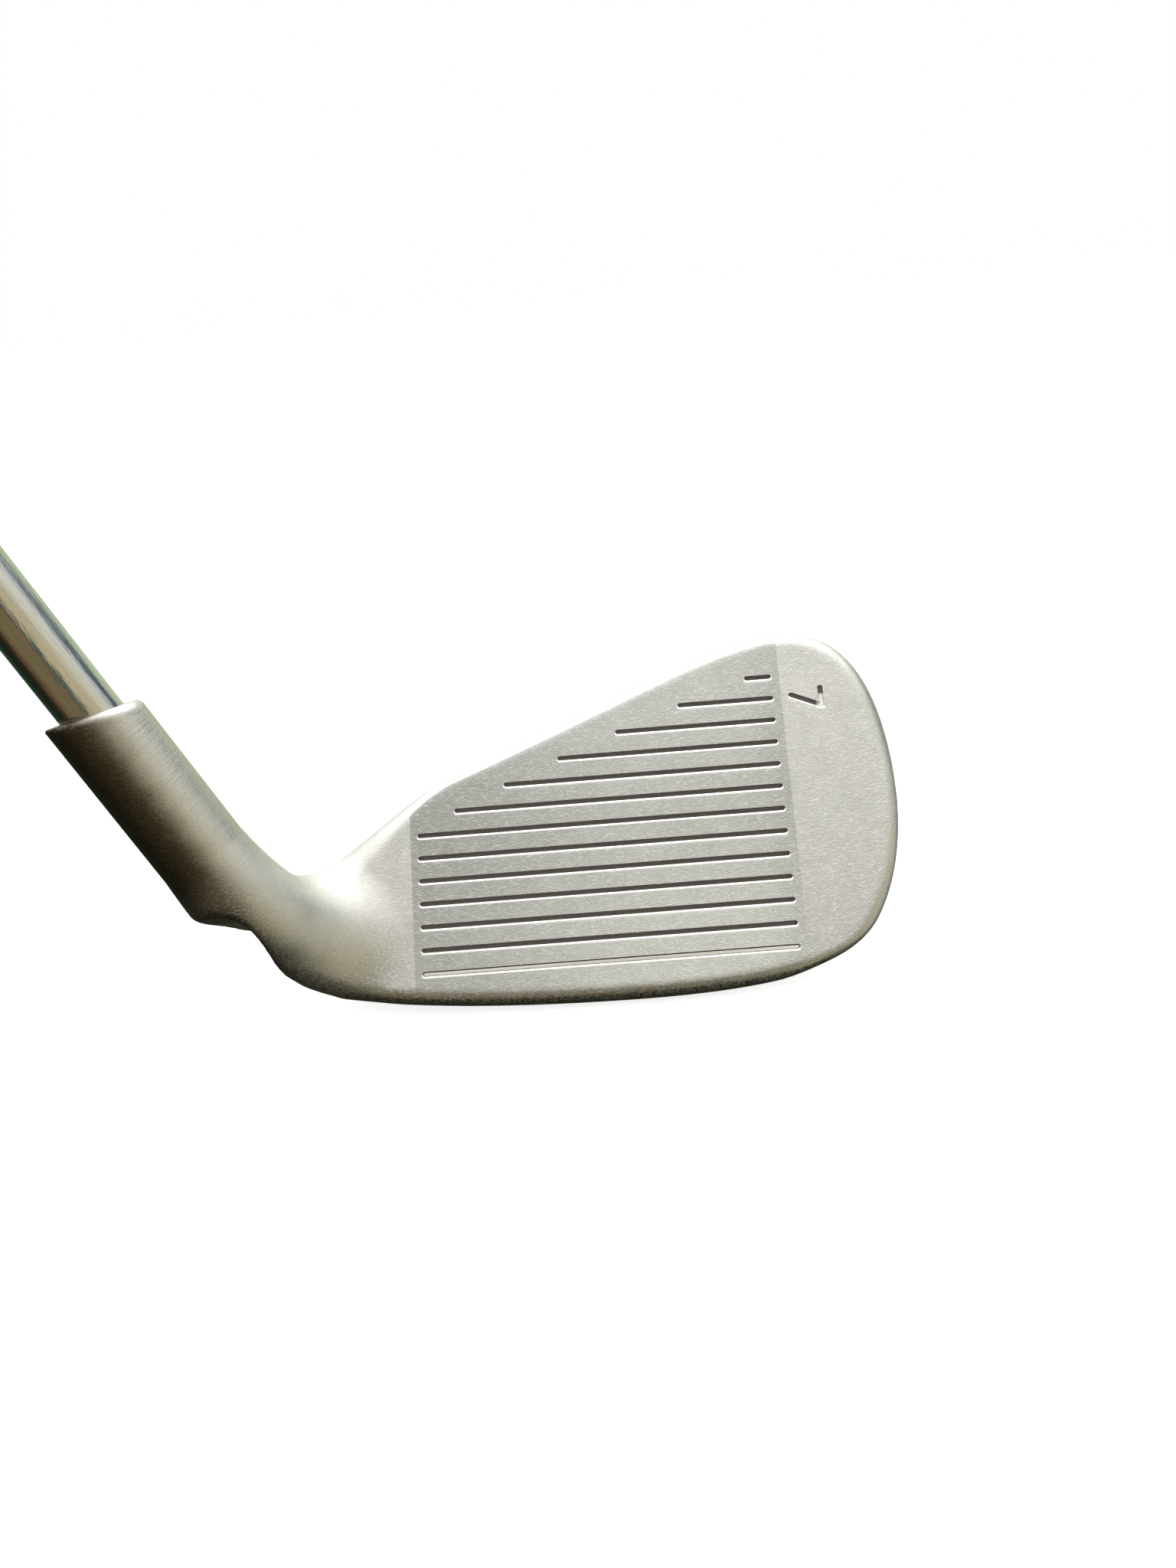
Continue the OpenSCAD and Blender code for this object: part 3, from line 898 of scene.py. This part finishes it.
def grip_radius(t):
    """Outside radius of the sleeve t above its mouth, the same profile as the CAD sleeve."""
    sleeve = GRIP_LEN - CAP_T
    steps = curve((4, GRIP_MOUTH_R), (80, GRIP_MOUTH_R + 0.9), (sleeve - 90, GRIP_BUTT_R - 1.5),
                  (sleeve - 12, GRIP_BUTT_R - 0.5), 24)
    ends = [(sleeve - 12, GRIP_BUTT_R - 0.5), (sleeve - 6, GRIP_BUTT_R), (sleeve, GRIP_BUTT_R)]
    lip = [(0, GRIP_MOUTH_R - 0.9), (0.35, GRIP_MOUTH_R - 0.35), (1.2, GRIP_MOUTH_R)]
    profile = np.vstack([lip, steps, ends])
    return np.interp(t, profile[:, 0], profile[:, 1])


def valley(distance, half):
    """A rounded groove: 1 at its middle, 0 beyond half its width."""
    return np.clip(1 - (distance / half) ** 2, 0, 1) ** 1.5


def to_line(phase):
    """Distance to the nearest whole number."""
    return np.abs(phase - np.round(phase))


def tread_depth(t, angle):
    """Depth of the moulded pattern: diamond panels between plain bands with ring grooves."""
    sleeve = GRIP_LEN - CAP_T
    lane, twist = angle * TREAD_STARTS / (2 * math.pi), TREAD_TWIST * t / TREAD_PITCH
    ahead, behind = to_line(lane + twist), to_line(lane - twist)
    lines = [valley(gap * TREAD_PITCH * 0.85, 0.85) for gap in (ahead, behind)]
    dimples = 0.35 * valley(np.hypot(ahead, behind) - 0.5, 0.16)
    diamonds = np.maximum(np.maximum(*lines), dimples)
    within = (t - PANEL_START) % (PANEL_LEN + RING_LEN)
    panel = ramp(within, 0, 0.8) * (1 - ramp(within, PANEL_LEN - 0.8, PANEL_LEN))
    zone = ramp(t, PANEL_START - 0.4, PANEL_START + 0.4) * (1 - ramp(t, sleeve - 14, sleeve - 13))
    from_middle = within - PANEL_LEN - RING_LEN / 2
    rings = np.maximum(valley(from_middle + 1.2, 0.55), valley(from_middle - 1.2, 0.55))
    collar = np.max([valley(t - at, 0.6) for at in (5.5, 8.5, 11.5, sleeve - 9.5)], axis=0)
    return TREAD_DEPTH * zone * (panel * diamonds + (1 - panel) * rings) + COLLAR_DEPTH * collar


def lathe(profile_rows, turn):
    """A closed solid of revolution grid: rows of (s, radius for each angle) joined last to first."""
    angle = np.arange(turn) * 2 * math.pi / turn
    rows = [from_axis(np.broadcast_to(radius, angle.shape), angle, np.broadcast_to(s, angle.shape))
            for s, radius in profile_rows]
    n = len(rows)
    i, j = np.meshgrid(np.arange(n), np.arange(turn), indexing="ij")
    up, side = (i + 1) % n, (j + 1) % turn
    quads = np.stack([i * turn + j, i * turn + side, up * turn + side, up * turn + j], -1).reshape(-1, 4)
    return np.vstack(rows), quads


def make_grip(material):
    """Rubber sleeve: the moulded outside, up to the cap, and the bore."""
    sleeve = GRIP_LEN - CAP_T
    mouth = CLUB_LEN - GRIP_LEN
    step = GRIP_ROW * 1
    heights = [0, 0.15, 0.4, 0.8, *np.arange(1.2, sleeve - 0.8, step), sleeve - 0.4, sleeve - 0.1]
    angle = np.arange(GRIP_TURN) * 2 * math.pi / GRIP_TURN
    rows = [(mouth + t, grip_radius(t) - tread_depth(np.full(GRIP_TURN, t), angle)) for t in heights]
    top, inner = mouth + sleeve - 0.1, SHAFT_BUTT_R + TAPE_T
    rows += [(top, GRIP_BUTT_R - 0.5), (top, inner), (mouth, inner)]
    points, quads = lathe(rows, GRIP_TURN)
    grip = mesh_piece("grip_sleeve", points, quads, sharp_deg=50)
    fix_normals(grip)
    place(grip, material, "grip_rubber", "grip")


CAP_TURN = 192  # points round the cap
CAP_RIM_R, CAP_SINK = 1.8, 0.12  # rounding of the rim, and how far the flat top lies below it
CAP_NOTCHES, CAP_NOTCH_DEPTH = 24, 0.35
CAP_GROOVES = [(8.6, 0.9, 0.5), (4.2, 0.7, 0.35)]  # radius, half width and depth
CAP_RIBS, CAP_RIB_HEIGHT, CAP_RIB_LOW, CAP_RIB_HIGH = 36, 0.12, 4.9, 7.6


def make_cap(material):
    """Butt cap: rounded rim with finger notches, ring grooves, ribs and the vent hole."""
    angle = np.arange(CAP_TURN) * 2 * math.pi / CAP_TURN
    low, top = CLUB_LEN - CAP_T, CLUB_LEN - CAP_SINK
    rows = [(low + 0.05, VENT_R), (low + 0.05, GRIP_BUTT_R - 0.25), (low + 0.25, GRIP_BUTT_R - 0.05)]
    notch = CAP_NOTCH_DEPTH * np.clip(np.cos(angle * CAP_NOTCHES) * 3 - 1.6, 0, 1)
    for t in np.linspace(0.5, CAP_T - CAP_RIM_R, 6):
        rows.append((low + t, GRIP_BUTT_R - notch * ramp(t, 0.5, 1.2)))
    for a in np.radians(np.linspace(10, 90, 9)):
        radius = GRIP_BUTT_R - CAP_RIM_R + CAP_RIM_R * math.cos(a)
        rows.append((CLUB_LEN - CAP_RIM_R + CAP_RIM_R * math.sin(a), radius - notch * math.cos(a)))
    for radius in np.arange(GRIP_BUTT_R - CAP_RIM_R - 0.4, VENT_R + 0.6, -0.3):
        groove = sum(depth * valley(radius - at, half) for at, half, depth in CAP_GROOVES)
        ribbed = CAP_RIB_LOW < radius < CAP_RIB_HIGH
        ribs = CAP_RIB_HEIGHT * np.clip(np.cos(angle * CAP_RIBS) * 4, -1, 1) * ribbed
        rows.append((top - groove + ribs, np.full(CAP_TURN, radius)))
    rows += [(top, VENT_R + 0.35), (CLUB_LEN - 0.4, VENT_R)]
    points, quads = lathe(rows, CAP_TURN)
    cap = mesh_piece("grip_butt_cap", points, quads, sharp_deg=50)
    fix_normals(cap)
    place(cap, material, "grip_rubber", "grip_cap")


# ---- studio ----

CAMERA_AT = (-1.2, -218.23, 106.42)
CAMERA_RIGHT = (0.99674, -0.00483, -0.08058)
CAMERA_DOWN = (-0.07802, -0.31408, -0.94618)
LENS_MM, SENSOR_MM = 35.15, 36.0


def make_camera():
    """The camera, close in front of the head and slightly tilted."""
    right, down = Vector(CAMERA_RIGHT).normalized(), Vector(CAMERA_DOWN)
    up = -(down - right * down.dot(right)).normalized()
    back = right.cross(up)
    camera = bpy.data.cameras.new("camera")
    camera.lens, camera.sensor_width = LENS_MM, SENSOR_MM
    camera.clip_start, camera.clip_end = 0.01, 50
    holder = bpy.data.objects.new("camera", camera)
    bpy.context.scene.collection.objects.link(holder)
    turn = Matrix((right, up, back)).transposed().to_4x4()
    holder.matrix_world = Matrix.Translation(Vector(CAMERA_AT) * MM) @ turn
    bpy.context.scene.camera = holder


# What polished metal sees round the horizon: azimuth in degrees, where 0 is the camera's side and
# 90 the toe's, and colour
HORIZON = [
    (-180, (0.60, 0.70, 0.45)),
    (-158, (0.09, 0.20, 0.10)),
    (-125, (0.030, 0.060, 0.035)),
    (-90, (0.008, 0.018, 0.010)),
    (-66, (0.030, 0.020, 0.010)),
    (-44, (0.21, 0.13, 0.065)),
    (-24, (0.20, 0.18, 0.085)),
    (-6, (0.19, 0.14, 0.07)),
    (2, (0.28, 0.19, 0.11)),
    (6, (0.05, 0.035, 0.025)),
    (10, (0.07, 0.20, 0.17)),
    (15, (0.14, 0.11, 0.06)),
    (20, (0.55, 0.47, 0.28)),
    (36, (0.64, 0.57, 0.36)),
    (42, (0.50, 0.44, 0.28)),
    (48, (0.64, 0.58, 0.40)),
    (80, (0.78, 0.76, 0.60)),
    (100, (0.62, 0.68, 0.64)),
    (112, (0.11, 0.15, 0.17)),
    (128, (0.09, 0.12, 0.14)),
    (143, (0.60, 0.70, 0.50)),
    (180, (0.60, 0.70, 0.45)),
]


def make_world():
    """White for the camera. Metal sees a bright ceiling, a coloured horizon and a dark ground."""
    world = bpy.data.worlds.new("studio")
    look = Look(world)
    toward = look.add("TexCoord", output=0)
    east = look.vector("DOT_PRODUCT", toward, (1, 0, 0))
    front = look.vector("DOT_PRODUCT", toward, (0, -1, 0))
    up = look.vector("DOT_PRODUCT", toward, (0, 0, 1))
    azimuth = look.math("ARCTAN2", east, front)
    place_on = look.math("ADD", look.math("DIVIDE", azimuth, 2 * math.pi), 0.5)
    horizon = look.bands(place_on, [(0.5 + at / 360, tint) for at, tint in HORIZON])
    overhead = look.between(look.math("SUBTRACT", up, look.product(front, 0.55)), 0.58, 1.15)
    ceiling = look.mix(overhead, (0.98, 0.985, 0.95), (3.6, 3.6, 3.6))
    heel_back = look.product(look.between(front, -0.2, -0.7), look.between(east, 0.0, -0.4))
    raised = look.math("ADD", up, look.product(heel_back, 0.4))
    seen = look.mix(look.between(raised, 0.38, 0.72), horizon, ceiling)
    ground = look.mix(look.between(up, -0.25, -0.75), seen, (0.02, 0.02, 0.014))
    rays = look.tree.nodes.new("ShaderNodeLightPath")
    soft = look.mix(look.between(up, -0.3, 0.5), (0.5, 0.5, 0.49), (1.1, 1.1, 1.09))
    light = look.mix(rays.outputs["Is Glossy Ray"], soft, ground)
    light = look.mix(rays.outputs["Is Camera Ray"], light, (1.0, 1.0, 1.0))
    background = look.add("Background", {"Color": light, "Strength": 1.0})
    output = look.tree.nodes.new("ShaderNodeOutputWorld")
    look.tree.links.new(background, output.inputs[0])
    bpy.context.scene.world = world


FLOOR_HALF, FLOOR_Z = 6000, -0.05
SQUARE = [(-1, -1), (1, -1), (1, 1), (-1, 1)]


def make_floor():
    """A pale floor at the sole, with faint unevenness."""
    look = material_look("pale_floor")
    where = look.millimetres()
    base = look.mix(look.noise(where, 0.01, 3.0), (0.93, 0.93, 0.925), (0.95, 0.95, 0.95))
    material = look.finish(
        Base_Color=base,
        Roughness=0.9,
        Specular_IOR_Level=0.1,
        Emission_Color=(1, 1, 1, 1),
        Emission_Strength=0.75,
    )
    corners = [(x * FLOOR_HALF, y * FLOOR_HALF, FLOOR_Z) for x, y in SQUARE]
    floor = mesh_piece("floor", corners, [(0, 1, 2, 3)])
    floor.data.materials.append(material)
    floor.visible_glossy = False


LAMP_AT = Vector((-0.1, -0.3, 1.7))  # metres; it points at the sole
LAMP_SIZE, LAMP_WATTS = (1.6, 1.2), 14


def make_light():
    """A large softbox over the club, for a soft shadow on the floor."""
    lamp = bpy.data.lights.new("softbox", "AREA")
    lamp.shape = "RECTANGLE"
    lamp.size, lamp.size_y = LAMP_SIZE
    lamp.energy = LAMP_WATTS
    holder = bpy.data.objects.new("softbox", lamp)
    bpy.context.scene.collection.objects.link(holder)
    holder.location = LAMP_AT
    holder.rotation_euler = (-LAMP_AT).to_track_quat("-Z", "Y").to_euler()
    holder.visible_glossy = False


# Nodes that keep their CAD shape
CAD_LOOKS = {
    "shaft": chrome_look,
    "badge_pad": foam_look,
    "badge_plate": brushed_plate_look,
    "hosel_epoxy": epoxy_look,
    "tip_plug": brass_look,
    "tip_cork": cork_look,
    "shaft_label": label_look,
    "grip_tape": tape_look,
}

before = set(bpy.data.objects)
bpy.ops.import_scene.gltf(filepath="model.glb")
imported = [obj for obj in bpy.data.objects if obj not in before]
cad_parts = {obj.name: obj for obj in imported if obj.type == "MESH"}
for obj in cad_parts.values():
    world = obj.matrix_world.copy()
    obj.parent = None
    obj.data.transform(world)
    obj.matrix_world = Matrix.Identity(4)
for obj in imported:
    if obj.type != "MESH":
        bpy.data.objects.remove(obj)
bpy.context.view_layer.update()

make_head(steel_look("cast_steel"), steel_look("groove_steel", in_groove=True))
make_paint(paint_look())
rubber = rubber_look()
make_grip(rubber)
make_cap(rubber)

for node, make_look in CAD_LOOKS.items():
    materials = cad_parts[node].data.materials
    materials.clear()
    materials.append(make_look())

make_world()
make_floor()
make_light()
make_camera()
bpy.context.scene.view_settings.view_transform = "Standard"
